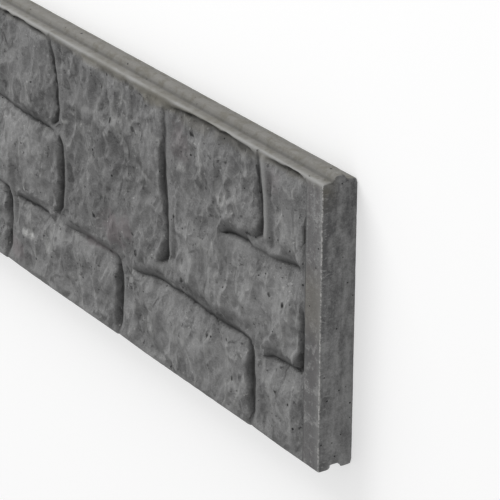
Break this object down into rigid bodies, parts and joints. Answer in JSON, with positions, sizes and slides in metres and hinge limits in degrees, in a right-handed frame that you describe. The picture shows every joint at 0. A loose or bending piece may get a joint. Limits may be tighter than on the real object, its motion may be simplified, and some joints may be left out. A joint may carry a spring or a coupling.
{
  "type": "concrete gravel board",
  "caption": "Long flat cast concrete fence board with a rock-faced ashlar front, plain end strips for post slots, a tongue along its upper edge and a groove along its lower edge.",
  "frame": {"origin": "centre of the board's footprint as it lies on its back, on the floor", "axes": "+X along the length, +Y towards the tongue edge that is upper when the board stands in a fence, +Z out of the rock face"},
  "size_m": [1.84, 0.36, 0.048],
  "materials": {
    "anthracite_concrete": "rough cast, matt, with small air pores"
  },
  "bodies": {
    "root": {"gravel_board": "anthracite_concrete"}
  },
  "joints": []
}
